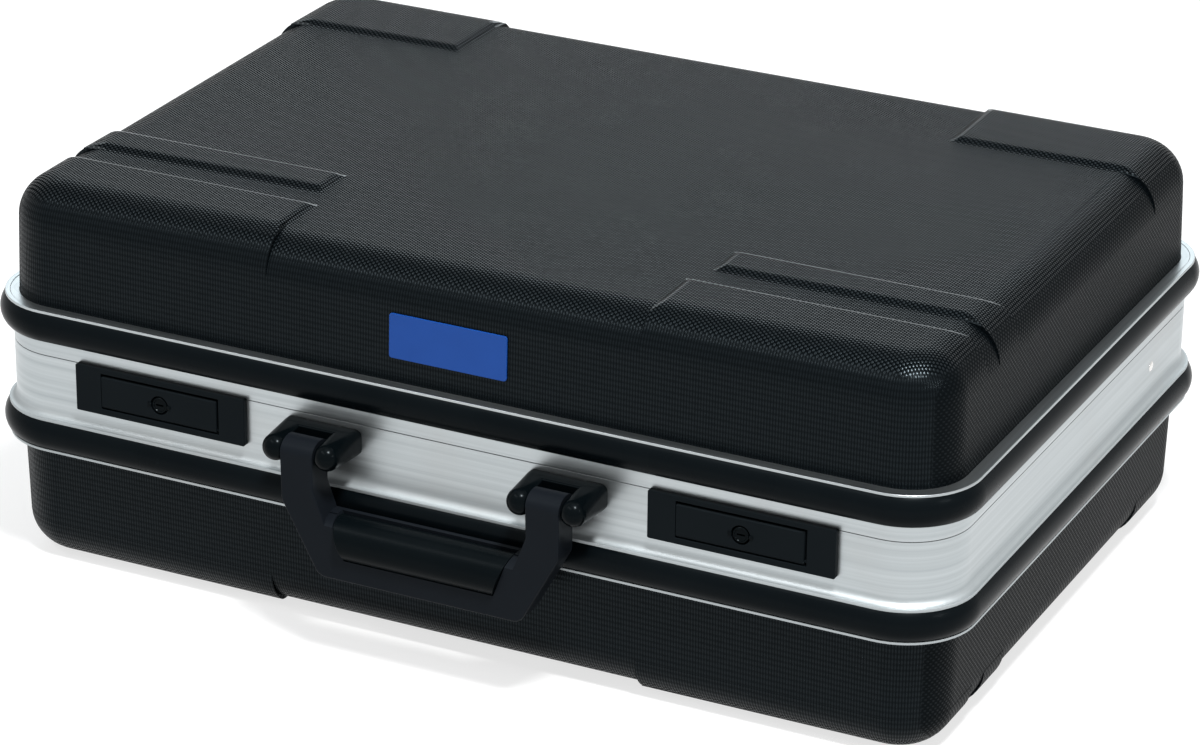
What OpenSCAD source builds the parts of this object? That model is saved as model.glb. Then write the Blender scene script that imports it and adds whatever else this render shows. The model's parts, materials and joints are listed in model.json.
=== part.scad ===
// Hard tool case: two ABS shells in aluminium frames, hinged at the back and latched at the front.
// X runs along the length, Y from front to back, Z up. The case lies closed on its four feet at Z = 0.

/* [Case] */
// Length over the lips of the frames
frame_l = 480; // [460:1:600]
// Width over the lips of the frames, front to back
frame_w = 329.5; // [310:0.5:400]
// Corner radius of the lips in plan
corner_r = 33.6; // [30:0.1:40]
// Depth of the base shell below its frame, feet not counted
base_h = 58; // [45:1:120]
// Height of the lid shell above its frame, pads not counted
lid_h = 53.5; // [45:0.5:120]
// Rounding where the walls meet the flat faces of the shells
edge_r = 20; // [12:0.5:24]
// Draft angle of the shell walls
draft = 1.7; // [0.5:0.1:4]
// Wall of the shells
shell_t = 3; // [2:0.1:4]
// Distance from the lips in to the shell walls
shell_in = 6.7; // [6:0.1:9]

/* [Feet and pads] */
// Height of the feet and of the lid's pads
pad_h = 2.2; // [1:0.1:5]
// Width of the sloped side of a foot or pad
pad_slope = 3.5; // [1:0.5:5]
// Length of a front foot from the end of the case
front_pad_l = 148.5; // [100:0.5:160]
// Width of a front foot from the front of the case
front_pad_w = 55; // [35:1:60]
// Groove between a front foot and the rib behind it
rib_gap = 14; // [8:0.5:22]
// Width of the rib behind a front foot
rib_w = 23.5; // [14:0.5:28]
// Length of the rib from the end of the case
rib_l = 142.5; // [90:0.5:160]
// Length of a rear foot from the end of the case
rear_pad_l = 110.5; // [80:0.5:140]
// Width of a rear foot from the back of the case
rear_pad_w = 67.5; // [50:0.5:85]

/* [Frames] */
// Thickness of the lips
lip_t = 1.2; // [0.8:0.1:2]
// Wall of the aluminium extrusions
frame_t = 1.5; // [1:0.1:2]
// Distance from the lips in to the band
band_in = 3.5; // [2.5:0.1:4.5]
// Height of the base frame's band, flange to top
base_band_h = 30.2; // [28:0.1:40]
// Height of the lid frame's band
lid_band_h = 7.8; // [7.5:0.1:14]
// Height of the flare between band and flange
flare_h = 3.8; // [2:0.1:5]
// Gap between the closed frames
split_gap = 0.6; // [0.3:0.1:1]
// Depth of the shell rim in its frame
rim_in = 12; // [8:0.5:13]
// Height of the base frame's tongue above its band
tongue_h = 3.5; // [2:0.1:4]
// Gap between the tongue and the lid frame's inner leg
tongue_gap = 0.9; // [0.8:0.1:1.5]
// Height of the black edging
edging_h = 14; // [13.5:0.1:18]
// How far the edging bulges past the lips
edging_out = 2.5; // [1:0.1:4]

/* [Hinges] */
// Length of each hinge
hinge_l = 60; // [40:1:90]
// Distance from the end of the case to a hinge's middle
hinge_in = 90; // [85:1:120]
// Outer radius of the hinge knuckles
knuckle_r = 2.7; // [2.3:0.1:2.9]
// Radius of the hinge pins
hinge_pin_r = 1.25; // [0.8:0.05:1.5]
// Thickness of the hinge leaves
leaf_t = 1; // [0.8:0.1:1.2]
// Height of the base leaves below the hinge axis
leaf_h = 20; // [14:1:22]
// How far the lid opens
lid_open = 100; // [90:1:105]

/* [Latches] */
// Distance from the end of the case to a latch's middle
latch_in = 95.8; // [90:0.1:97]
// Length of the latch plates
plate_l = 88.2; // [80:0.1:90]
// Height of the latch plates
plate_h = 21.5; // [21.5:0.1:23]
// Thickness of the latch plates in front of the band
plate_t = 3; // [2.6:0.1:4]
// Length of the levers
lever_l = 61; // [56:0.5:64]
// Height of the levers
lever_h = 16; // [16:0.1:17]
// Radius of the lock cylinders
lock_r = 4.5; // [3:0.1:5]
// Radius of the lever pins
lever_pin_r = 0.8; // [0.5:0.05:1]

/* [Handle] */
// Distance between the middles of the handle's two arms
arm_gap = 121.2; // [110:0.1:126]
// Width of an arm
arm_w = 16; // [12:0.5:18]
// Depth of the handle, front to back
handle_t = 14; // [10:0.5:14]
// Drop of the handle below its pivot
handle_drop = 56.3; // [50:0.1:60]
// Drop of the finger opening below the pivot
opening_drop = 27.3; // [22:0.1:30]
// Radius of the grip
grip_r = 10.4; // [9:0.1:10.6]
// Radius of the mounts' round ears
ear_r = 5.8; // [5:0.1:6.4]
// Radius of the handle pins
handle_pin_r = 2; // [1.5:0.1:2.5]
// Distance from the lips out to the handle pivot
pivot_out = 14.2; // [14:0.1:18]

/* [Lid stays] */
// Distance from the back of the case to a stay's foot
stay_foot_in = 72; // [60:1:90]
// Distance from the hinge axis to a stay's lid stud
stay_stud_r = 150; // [135:1:150]
// Width of a stay arm
stay_w = 9; // [7:0.5:12]
// Thickness of a stay arm
stay_t = 1.6; // [1:0.1:2]

/* [Badge] */
// Length of the blue plate
badge_l = 58.5; // [40:0.5:80]
// Height of the blue plate
badge_h = 21.2; // [10:0.1:22]
// Thickness of the blue plate
badge_t = 1; // [0.6:0.1:2]

/* [Hidden] */
$fn = 64;

// clearances
run_fit = 0.05;      // radial clearance of a turning fit
slide_gap = 0.3;     // gap between parts that move past each other
seat_gap = 0.1;      // gap round a part that sits in a slot
seam = 0.35;         // seam round the grip
eps = 0.01;          // overrun of a cut past a face

// levels, from the floor up
base_rim_z = pad_h + base_h;                 // underside of the base frame
base_edging_z = base_rim_z + lip_t;
flange_z = base_edging_z + edging_h;         // underside of the flange
band_z = flange_z + lip_t;                   // foot of the base band
base_top_z = band_z + base_band_h;           // top of the base band
lid_bottom_z = base_top_z + split_gap;       // bottom of the lid band
lid_edging_z = lid_bottom_z + lid_band_h;
lid_ledge_z = lid_edging_z + edging_h;       // underside of the lid's ledge
lid_rim_z = lid_ledge_z + lip_t;             // top of the lid frame

// distances in from the lips
rim_t = shell_t / cos(draft);                // wall of the shell rims, measured level
wall_in = band_in + frame_t;                 // inner face of the band
leg_in = shell_in + rim_t + seat_gap;        // outer face of the inner legs
leg_end = leg_in + frame_t;                  // inner face of the inner legs
lid_leg_in = leg_end + tongue_gap;           // outer face of the lid's lower leg
lid_leg_end = lid_leg_in + frame_t;

half_l = frame_l / 2;
half_w = frame_w / 2;
run_x = half_l - corner_r;
run_y = half_w - corner_r;

// the handle's front face and the edging's back face are equally far from the middle of Y
grip_front = pivot_out + 0.4 + grip_r;
shift_y = (grip_front - edging_out) / 2;

// hinge axis
hinge_x = half_l - hinge_in;
hinge_y = half_w - band_in + knuckle_r + slide_gap;
hinge_z = (base_top_z + lid_bottom_z) / 2;
knuckle_n = 5;
knuckle_l = hinge_l / knuckle_n;
hinge_rivet_r = 1.2;
base_leaf_rivet_z = hinge_z - leaf_h / 2 - 1;
lid_leaf_top = lid_edging_z - slide_gap;
lid_leaf_rivet_z = (hinge_z + knuckle_r + slide_gap + lid_leaf_top) / 2 - 0.3;

// latches, measured from the middle of each plate
latch_x = half_l - latch_in;
latch_z = base_top_z - 0.4 - plate_h / 2;
plate_front = band_in - plate_t;             // front face of plates and levers, in from the lips
lever_up = 0.5;                              // the lever sits this far above the plate's middle
lever_t = plate_t + 0.2;
lever_pivot_r = lever_t / 2;
lever_pivot_in = plate_front + lever_pivot_r;
lever_pivot_up = lever_up - lever_h / 2 + lever_pivot_r;
pan_floor_in = plate_front + lever_t + 0.2;  // front face of the plate's back wall
pan_end_in = pan_floor_in + 1.3;
lock_up = lever_up - 0.2;
tail_end_in = pan_end_in + 1;
plate_rivet_x = (plate_l + lever_l) / 4 + 0.8;
latch_rivet_r = 1.2;
hook_x = lever_l / 2 - 10.5;                 // middle of the hook, towards the end of the case
hook_w = 10;
hook_t = 1.2;
hook_pin_r = 0.8;
hook_barrel_r = 1.7;
spring_gap = 0.55;                           // room for the hook's foot to swing before it meets the spring
lever_pin_end = lever_l / 2 + 2.6;
hook_in = leg_in - slide_gap - hook_barrel_r;         // hook axis, in from the lips
hook_front = hook_in - hook_t / 2;
hook_pivot_z = latch_z + 1.7;
hook_top_z = lid_edging_z - frame_t - 0.5;
keeper_z = lid_bottom_z + 2.1;
keeper_t = 0.9;
keeper_reach = hook_front - 0.5 - 0.35;      // the keeper's lip ends just short of the hook's nose

// handle
mount_z = base_top_z - 8.7;                  // level of the handle pivot
mount_x = arm_gap / 2;
mount_slot = arm_w / 2 + 0.5;                // half width of the slot between a mount's ears
ear_w = 10.25;                               // width of a mount's ear
mount_w = 2 * (mount_slot + ear_w);
bridge_out = pivot_out - 9.8;                // front of the mount's bridge, out from the lips
ball_out = pivot_out + 2.4;                  // centre of the balls at the ends of the ears
handle_pin_end = mount_w / 2 - 3;
ear_x = mount_w / 2 - ear_r;
barrel_r = 7.8;
arm_front = pivot_out + barrel_r;
arm_back = arm_front - handle_t;
grip_out = pivot_out + 0.4;
grip_drop = opening_drop + 0.5 + grip_r;
grip_back = arm_back + 2.4;                  // flat back of the grip, out from the lips
grip_shoulder = 4.5;                         // from an arm's inner side to the end of the grip
arm_lean = 0.36;                             // how much wider an arm gets for each millimetre further down
arm_straight = ear_r + 9;                    // drop of the arm's straight part, which passes the ears
bend_drop = opening_drop - 5;                // drop of the bend in the handle's outer edge
arm_outer = arm_gap / 2 + arm_w / 2;
arm_inner = arm_gap / 2 - arm_w / 2;
foot_x = arm_outer - 18.5;                     // half length of the handle's bottom edge
screw_r = 2;
screw_x = 11;
screw_depth = 7;

// lid stays
stay_y = half_w - stay_foot_in;
stay_z = base_top_z - 14.1;                  // level of the stays' feet
stay_in = lid_leg_end + 0.6;                 // outer face of the arms
stud_z = lid_bottom_z + 3.2;
stud_y = hinge_y - stay_stud_r;
stay_rivet_r = 1.5;
stay_angle = atan2(stud_z - stay_z, stay_y - stud_y);
stud_turn = atan2(stud_z - hinge_z, stay_stud_r) + lid_open;
stud_arc = norm([stay_stud_r, stud_z - hinge_z]);
stay_reach = norm([hinge_y - stud_arc * cos(stud_turn) - stay_y, hinge_z + stud_arc * sin(stud_turn) - stay_z]);
stay_near = norm([stay_y - stud_y, stud_z - stay_z]);
stay_l = stay_reach + 8;
slot_r = 2.1;

// rivets that hold the shells, along each side of the frames
rivet_r = 1.6;
rivet_x = [-0.62, 0, 0.62] * half_l;
rivet_y = [-0.45, 0.45] * half_w;

// plates that join the ends of the extrusions in the middle of the back
joiner_l = 60;
joiner_h = 16;
joiner_t = 1.2;
joiner_z = band_z + base_band_h / 2;
joiner_rivet_x = 20;

badge_up = 10.8;                             // from the lid frame up to the blue plate

// ---------- shared shapes ----------

// a profile drawn as (out from the lips, up), swept round the case
module ring() {
    for (i = [0:3]) {
        reach = i % 2 == 0 ? run_x : run_y;
        run = i % 2 == 0 ? run_y : run_x;
        rotate(90 * i) translate([reach, run, 0]) {
            rotate([90, 0, 0]) linear_extrude(2 * run) translate([corner_r, 0]) children();
            rotate_extrude(angle = 90) translate([corner_r, 0]) children();
        }
    }
}

// a rectangle of a profile, given by its distances in from the lips and its levels
module bar(outer_in, inner_in, bottom, top) {
    translate([-inner_in, bottom]) square([inner_in - outer_in, top - bottom]);
}

// the swept sections stop this far short of the corner centres, and a plain block fills the middle
core = 1;

// half section of a drafted box with rounded edges, standing on level 0
module box_section(height, inset, radius) {
    slant = (height - radius + radius * sin(draft)) / cos(draft);
    centre = [-inset - slant * sin(draft) - radius * cos(draft), height - radius];
    tangent = centre + radius * [cos(draft), sin(draft)];
    polygon([[core - corner_r, 0], [-inset, 0], tangent, centre,
        [centre[0], height], [core - corner_r, height]]);
    translate(centre) intersection() {
        circle(radius, $fn = 96);
        square(radius);
    }
}

// the whole box with that section
module box_solid(height, inset, radius) {
    ring() box_section(height, inset, radius);
    translate([-run_x - core, -run_y - core, 0]) cube([2 * run_x + 2 * core, 2 * run_y + 2 * core, height]);
}

// one foot or pad above a flat face at a given level: its sides slope in towards the top
module pad_block(level, x0, x1, y0, y1) {
    low = level - edge_r + pad_h + 0.3;
    top = level + pad_h;
    module slope(from, to) {
        polygon([[from, low], [to, low], [to, level], [to - pad_slope, top], [from + pad_slope, top], [from, level]]);
    }
    intersection() {
        translate([x0, 0, 0]) rotate([90, 0, 90]) linear_extrude(x1 - x0) slope(y0, y1);
        translate([0, y1, 0]) rotate([90, 0, 0]) linear_extrude(y1 - y0) slope(x0, x1);
    }
}

// all feet or pads: front corners, the ribs behind them and the rear corners
module pad_blocks(level) {
    margin = 10;
    end = half_l + margin;
    for (side = [-1, 1]) scale([side, 1, 1]) {
        pad_block(level, half_l - front_pad_l, end, -half_w - margin, -half_w + front_pad_w);
        pad_block(level, half_l - rib_l, end,
            -half_w + front_pad_w + rib_gap, -half_w + front_pad_w + rib_gap + rib_w);
        pad_block(level, half_l - rear_pad_l, end, half_w - rear_pad_w, half_w + margin);
    }
}

// a shell standing with its rim down: walls, flat face, pads and the rim that goes into the frame
module shell_body(height) {
    difference() {
        union() {
            box_solid(height, shell_in, edge_r);
            intersection() {
                box_solid(height + pad_h, shell_in, edge_r);
                pad_blocks(height);
            }
            ring() bar(shell_in, shell_in + rim_t, -rim_in, 0);
        }
        translate([0, 0, -eps]) box_solid(height - shell_t + eps, shell_in + rim_t, edge_r - shell_t);
    }
}

// half-round strip between two lips
module edging_profile(bottom) {
    chord = edging_h / 2;
    bulge = edging_out + 0.4;
    radius = (chord * chord + bulge * bulge) / (2 * bulge);
    bar(0.4, band_in, bottom, bottom + edging_h);
    translate([-0.4, bottom + chord]) intersection() {
        translate([bulge - radius, 0]) circle(radius, $fn = 96);
        translate([0, -chord]) square([bulge, edging_h]);
    }
}

// rods along Y and X with their axes on the local axis
module rod_y(radius, from, to) {
    translate([0, from, 0]) rotate([-90, 0, 0]) cylinder(h = to - from, r = radius);
}
module rod_x(radius, from, to) {
    translate([from, 0, 0]) rotate([0, 90, 0]) cylinder(h = to - from, r = radius);
}
module block(x0, x1, y0, y1, z0, z1) { translate([x0, y0, z0]) cube([x1 - x0, y1 - y0, z1 - z0]); }

// puts a shape at the front of the case: local Y runs in from the lips
module at_front(x, z) { translate([x, shift_y - half_w, z]) children(); }
// the same on the left and right, mirrored, so that local +X points to the near end of the case
module at_latch(side) { at_front(side * latch_x, latch_z) scale([side, 1, 1]) children(); }
module at_mount(side) { at_front(side * mount_x, mount_z) scale([side, 1, 1]) children(); }
// puts a shape on a hinge: the local origin is the middle of its axis
module at_hinge(side) { translate([side * hinge_x, shift_y + hinge_y, hinge_z]) children(); }
// puts a shape on a side wall: local +X runs in from the lips
module at_side(side, y, z) { translate([side * half_l, shift_y + y, z]) scale([-side, 1, 1]) children(); }

// every shell rivet of one frame: local +X points in from the lips, local 0 is the lip
module at_shell_rivets(level) {
    for (x = rivet_x, side = [-1, 1])
        translate([x, shift_y + side * half_w, level]) rotate(-90 * side) children();
    for (y = rivet_y, side = [-1, 1])
        translate([side * half_l, shift_y + y, level]) rotate(side > 0 ? 180 : 0) children();
}

// ---------- base ----------

module base_shell() {
    color([0.10, 0.11, 0.12]) difference() {
        translate([0, shift_y, base_rim_z]) mirror([0, 0, 1]) shell_body(base_h);
        at_shell_rivets(base_rim_z + rim_in / 2) rod_x(rivet_r, 0, leg_end + eps);
    }
}

module base_frame_profile() {
    bar(0, leg_end, flange_z, band_z);                         // flange and web
    bar(band_in, wall_in, base_rim_z, base_top_z);             // outer wall and band
    bar(0, shell_in - seat_gap, base_rim_z, base_edging_z);    // lower lip
    bar(leg_in, leg_end, base_rim_z, base_top_z + tongue_h);   // inner leg and tongue
    difference() {                                             // flare
        bar(0, band_in + eps, band_z - eps, band_z + flare_h);
        translate([0, band_z + flare_h]) circle(min(band_in, flare_h));
    }
}

module base_frame() {
    color([0.75, 0.76, 0.77]) difference() {
        translate([0, shift_y, 0]) ring() base_frame_profile();
        at_shell_rivets(base_rim_z + rim_in / 2) rod_x(rivet_r, leg_in - eps, leg_end + eps);
        for (side = [-1, 1]) {
            at_latch(side) {
                block(-lever_l / 2 - 2.5, lever_l / 2 + 2.5, band_in - 1, wall_in + eps,
                    lever_up - lever_h / 2 - 1, lever_up + lever_h / 2 + 1);
                for (x = [-1, 1] * plate_rivet_x) translate([x, 0, 0]) rod_y(latch_rivet_r, 0, wall_in + eps);
            }
            at_mount(side) for (x = [-1, 1] * screw_x) translate([x, 0, 0]) {
                rod_y(screw_r, 0, wall_in + eps);
                rod_y(2 * screw_r, leg_in - eps, leg_end + eps);
            }
            at_hinge(side) for (x = [-1, 1] * knuckle_l * 1.5)
                translate([x, 0, base_leaf_rivet_z - hinge_z]) rod_y(hinge_rivet_r, -wall_in * 2, 0);
            at_side(side, stay_y, stay_z) rod_x(stay_rivet_r, band_in - eps, leg_end + eps);
        }
        for (x = [-1, 1] * joiner_rivet_x) translate([x, shift_y + half_w, joiner_z])
            rod_y(hinge_rivet_r, -wall_in - eps, 0);
    }
}

module base_edging() {
    color([0.07, 0.08, 0.09]) translate([0, shift_y, 0]) ring() edging_profile(base_edging_z);
}

module shell_rivet_group(level) {
    color([0.8, 0.8, 0.82]) at_shell_rivets(level) {
        rod_x(rivet_r, shell_in - 0.8, leg_end);
        rod_x(rivet_r * 2, leg_end, leg_end + 0.8);
        rod_x(rivet_r * 1.3, shell_in - 0.8, shell_in);
    }
}

module base_shell_rivets() { shell_rivet_group(base_rim_z + rim_in / 2); }

// the extrusion's two ends meet in the middle of the back, and a plate behind them joins them
module base_joiner() {
    color([0.7, 0.7, 0.72]) difference() {
        translate([0, shift_y + half_w - wall_in - joiner_t, joiner_z])
            block(-joiner_l / 2, joiner_l / 2, 0, joiner_t, -joiner_h / 2, joiner_h / 2);
        for (x = [-1, 1] * joiner_rivet_x) translate([x, shift_y + half_w - wall_in, joiner_z])
            rod_y(hinge_rivet_r, -2 * joiner_t, eps);
    }
}

module base_joiner_rivets() {
    color([0.8, 0.8, 0.82]) for (x = [-1, 1] * joiner_rivet_x)
        translate([x, shift_y + half_w, joiner_z]) {
            rod_y(hinge_rivet_r, -wall_in - joiner_t - 0.6, -band_in);
            rod_y(hinge_rivet_r * 2, -band_in, -band_in + 0.7);
            rod_y(hinge_rivet_r * 1.6, -wall_in - joiner_t - 0.6, -wall_in - joiner_t);
        }
}

// ---------- lid ----------

module lid_shell() {
    color([0.10, 0.11, 0.12]) difference() {
        translate([0, shift_y, lid_rim_z]) shell_body(lid_h);
        at_shell_rivets(lid_rim_z - rim_in / 2) rod_x(rivet_r, 0, leg_end + eps);
    }
}

module lid_frame_profile() {
    ledge_step = 0.4;
    rim_w = 2.5;
    bar(0, shell_in - seat_gap, lid_ledge_z, lid_rim_z - ledge_step);         // ledge
    intersection() {                                                        // rounded rim of the ledge
        bar(0, rim_w, lid_ledge_z, lid_rim_z);
        translate([-rim_w / 2, lid_rim_z - rim_w / 2]) circle(rim_w / 2 + 0.35);
    }
    bar(band_in, wall_in, lid_bottom_z, lid_ledge_z + lip_t / 2);             // outer wall and band
    bar(band_in, lid_leg_end, lid_edging_z - frame_t, lid_edging_z);          // web
    bar(leg_in, leg_end, lid_edging_z - frame_t, lid_rim_z);                  // upper inner leg
    bar(lid_leg_in, lid_leg_end, lid_bottom_z, lid_edging_z);                 // lower inner leg
}

module lid_frame() {
    color([0.75, 0.76, 0.77]) difference() {
        translate([0, shift_y, 0]) ring() lid_frame_profile();
        at_shell_rivets(lid_rim_z - rim_in / 2) rod_x(rivet_r, leg_in - eps, leg_end + eps);
        for (side = [-1, 1]) {
            at_hinge(side) for (x = [-1, 1] * knuckle_l)
                translate([x, 0, lid_leaf_rivet_z - hinge_z]) rod_y(hinge_rivet_r, -wall_in - 3, 0);
            at_side(side, stud_y, stud_z) rod_x(stay_rivet_r, lid_leg_in - eps, lid_leg_end + eps);
        }
    }
}

module lid_edging() {
    color([0.07, 0.08, 0.09]) translate([0, shift_y, 0]) ring() edging_profile(lid_edging_z);
}

module lid_shell_rivets() { shell_rivet_group(lid_rim_z - rim_in / 2); }

module lid_joiner() {
    color([0.7, 0.7, 0.72]) translate([0, shift_y + half_w - wall_in - joiner_t, lid_bottom_z + 0.6])
        block(-joiner_l / 2, joiner_l / 2, 0, joiner_t, 0, lid_band_h - frame_t - 0.6);
}

module badge_plate() {
    color([0.11, 0.27, 0.58]) translate([0, shift_y - half_w + shell_in, lid_rim_z]) rotate([-draft, 0, 0])
        block(-badge_l / 2, badge_l / 2, -badge_t, 0, badge_up, badge_up + badge_h);
}

// ---------- hinges ----------

// knuckles of one leaf: first is 0 or 1
module knuckles(first, bore_r) {
    for (i = [first:2:knuckle_n - 1])
        difference() {
            x0 = -hinge_l / 2 + i * knuckle_l + seat_gap;
            x1 = x0 + knuckle_l - 2 * seat_gap;
            web_side = first == 0 ? -1 : 1;
            union() {
                rod_x(knuckle_r, x0, x1);
                scale([1, 1, web_side])
                    block(x0, x1, -knuckle_r - slide_gap, -knuckle_r - slide_gap + leaf_t,
                    0, knuckle_r + slide_gap + eps);
            }
            rod_x(bore_r, x0 - eps, x1 + eps);
        }
}

module hinge_base_leaf(side) {
    leaf_y = -knuckle_r - slide_gap;
    color([0.62, 0.63, 0.65]) at_hinge(side) difference() {
        union() {
            knuckles(0, hinge_pin_r);
            block(-hinge_l / 2, hinge_l / 2, leaf_y, leaf_y + leaf_t, -leaf_h, -knuckle_r - slide_gap);
        }
        for (x = [-1, 1] * knuckle_l * 1.5) translate([x, 0, base_leaf_rivet_z - hinge_z])
            rod_y(hinge_rivet_r, leaf_y - eps, leaf_y + leaf_t + eps);
    }
}

module hinge_lid_leaf(side) {
    leaf_y = -knuckle_r - slide_gap;
    color([0.62, 0.63, 0.65]) at_hinge(side) difference() {
        union() {
            knuckles(1, hinge_pin_r + run_fit);
            block(-hinge_l / 2, hinge_l / 2, leaf_y, leaf_y + leaf_t, knuckle_r + slide_gap, lid_leaf_top - hinge_z);
        }
        for (x = [-1, 1] * knuckle_l) translate([x, 0, lid_leaf_rivet_z - hinge_z])
            rod_y(hinge_rivet_r, leaf_y - eps, leaf_y + leaf_t + eps);
    }
}

module hinge_pin(side) { color([0.8, 0.8, 0.82]) at_hinge(side) rod_x(hinge_pin_r, -hinge_l / 2, hinge_l / 2); }

module hinge_rivet_row(spacing, level) {
    leaf_out = -knuckle_r - slide_gap + leaf_t;
    wall_y = half_w - wall_in - hinge_y;
    color([0.8, 0.8, 0.82]) for (side = [-1, 1], x = [-1, 1] * spacing)
        at_hinge(side) translate([x, 0, level - hinge_z]) {
            rod_y(hinge_rivet_r, wall_y - 0.6, leaf_out);
            rod_y(hinge_rivet_r * 1.5, leaf_out, leaf_out + 0.6);
            rod_y(hinge_rivet_r + 0.1, wall_y - 0.6, wall_y);
        }
}

module hinge_base_rivets() { hinge_rivet_row(knuckle_l * 1.5, base_leaf_rivet_z); }
module hinge_lid_rivets() { hinge_rivet_row(knuckle_l, lid_leaf_rivet_z); }

// ---------- latches ----------

module plate_outline() {
    c = 0.5;
    w = plate_l / 2;
    h = plate_h / 2;
    polygon([[-w, -h + c], [-w + c, -h], [w - c, -h], [w, -h + c], [w, h - c], [w - c, h], [-w + c, h], [-w, h - c]]);
}

// mounting plate: front frame, pan behind the lever and two lugs that carry the hook
module latch_plate(side) {
    lever_gap = slide_gap;
    pan_x = lever_l / 2 + 2;
    pan_lo = lever_up - lever_h / 2 - 0.8;
    pan_hi = lever_up + lever_h / 2 + 0.8;
    lug_x = hook_w / 2 + slide_gap;
    color([0.11, 0.12, 0.13]) at_latch(side) difference() {
        union() {
            translate([0, band_in, 0]) rotate([90, 0, 0]) linear_extrude(plate_t) plate_outline();
            block(-pan_x, pan_x, band_in - eps, pan_end_in, pan_lo, pan_hi);
            for (x = [hook_x - lug_x - 1.8, hook_x + lug_x])
                block(x, x + 1.8, pan_end_in - eps, hook_in + hook_pin_r + 0.5,
                    hook_pivot_z - latch_z - 3, hook_pivot_z - latch_z + 3);
        }
        block(-lever_l / 2 - lever_gap, lever_l / 2 + lever_gap, plate_front - eps, pan_floor_in,
            lever_up - lever_h / 2 - lever_gap, lever_up + lever_h / 2 + lever_gap);
        // opening behind the lock, tall enough for its tail to swing out with the lever
        block(-lock_r, lock_r, pan_floor_in - eps, pan_end_in + eps,
            lever_pivot_up + lever_pivot_r + 0.2, lever_up + lever_h / 2 - 0.2);
        // opening for the lever's tooth
        block(hook_x - hook_w / 2 - slide_gap, hook_x + hook_w / 2 + slide_gap, pan_floor_in - eps, pan_end_in + eps,
            lever_up + lever_h / 2 - 6.6, lever_up + lever_h / 2 - 0.2);
        translate([0, lever_pivot_in, lever_pivot_up]) rod_x(lever_pin_r, -lever_pin_end, lever_pin_end);
        translate([0, hook_in, hook_pivot_z - latch_z])
            rod_x(hook_pin_r, hook_x - lug_x - 1.8 - eps, hook_x + lug_x + 1.8 + eps);
        for (x = [-1, 1] * plate_rivet_x) translate([x, 0, 0]) rod_y(latch_rivet_r, plate_front + 1, band_in + eps);
    }
}

module latch_rivets() {
    color([0.8, 0.8, 0.82]) for (side = [-1, 1], x = [-1, 1] * plate_rivet_x)
        at_latch(side) translate([x, 0, 0]) {
            rod_y(latch_rivet_r, plate_front + 1, wall_in);
            rod_y(latch_rivet_r * 1.9, wall_in, wall_in + 0.8);
        }
}

// tilting lever: it turns about a pin along its lower edge and its tooth works the hook
module latch_lever(side) {
    top = lever_up + lever_h / 2;
    color([0.12, 0.13, 0.14]) at_latch(side) difference() {
        union() {
            block(-lever_l / 2, lever_l / 2, plate_front, plate_front + lever_t, lever_pivot_up, top);
            translate([0, lever_pivot_in, lever_pivot_up]) rod_x(lever_pivot_r, -lever_l / 2, lever_l / 2);
            block(hook_x - hook_w / 2, hook_x + hook_w / 2, plate_front + lever_t - eps, pan_end_in + 0.2,
                top - 4.6, top - 2.6);
        }
        translate([0, lever_pivot_in, lever_pivot_up]) rod_x(lever_pin_r + run_fit, -lever_l, lever_l);
        translate([0, 0, lock_up]) rod_y(lock_r, plate_front - eps, plate_front + lever_t + eps);
        // finger bevel along the top edge
        translate([0, plate_front, top]) rotate([45, 0, 0]) block(-lever_l, lever_l, -0.6, 0.6, -0.6, 0.6);
    }
}

module lever_pin(side) {
    color([0.8, 0.8, 0.82]) at_latch(side) translate([0, lever_pivot_in, lever_pivot_up])
        rod_x(lever_pin_r, -lever_pin_end, lever_pin_end);
}

// lock cylinder with its key slot and a flat tail behind the lever
module lock_cylinder(side) {
    tail_r = 3;
    color([0.15, 0.16, 0.17]) at_latch(side) translate([0, 0, lock_up]) difference() {
        union() {
            rod_y(lock_r - run_fit, plate_front + 0.1, plate_front + lever_t);
            intersection() {
                rod_y(tail_r, plate_front + lever_t - eps, tail_end_in);
                block(-tail_r, tail_r, 0, tail_end_in + 1, -1.6, 1.6);
            }
        }
        block(-2.6, 2.6, plate_front, plate_front + 2, -0.6, 0.6);
    }
}

// hook on a barrel round its own pin, with a small nose towards the keeper
module latch_hook(side) {
    foot = -6;
    top = hook_top_z - hook_pivot_z;
    color([0.7, 0.7, 0.72]) at_latch(side) translate([hook_x, hook_in, hook_pivot_z - latch_z]) difference() {
        union() {
            block(-hook_w / 2, hook_w / 2, -hook_t / 2, hook_t / 2, foot, top);
            rod_x(hook_barrel_r, -hook_w / 2, hook_w / 2);
            block(-hook_w / 2, hook_w / 2, -hook_t / 2 - 0.5, 0, keeper_z + keeper_t + 0.3 - hook_pivot_z, top);
        }
        rod_x(hook_pin_r + run_fit, -hook_w, hook_w);
    }
}

module hook_pin(side) {
    end = hook_w / 2 + slide_gap + 1.8;
    color([0.8, 0.8, 0.82]) at_latch(side) translate([hook_x, hook_in, hook_pivot_z - latch_z])
        rod_x(hook_pin_r, -end, end);
}

// leaf spring on the back of the pan, its tip close to the hook's foot
module latch_spring(side) {
    t = 0.4;
    tip = hook_front - pan_end_in - spring_gap;
    low = lever_up - lever_h / 2 - 0.5 - (hook_pivot_z - latch_z);
    color([0.75, 0.75, 0.77]) at_latch(side) translate([hook_x, pan_end_in, hook_pivot_z - latch_z])
        rotate([90, 0, 90]) translate([0, 0, -2.5]) linear_extrude(5)
            polygon([[0, low], [t, low], [t, -6.6], [tip, -5.6], [tip, -4.8], [0, -6.2]]);
}

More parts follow.
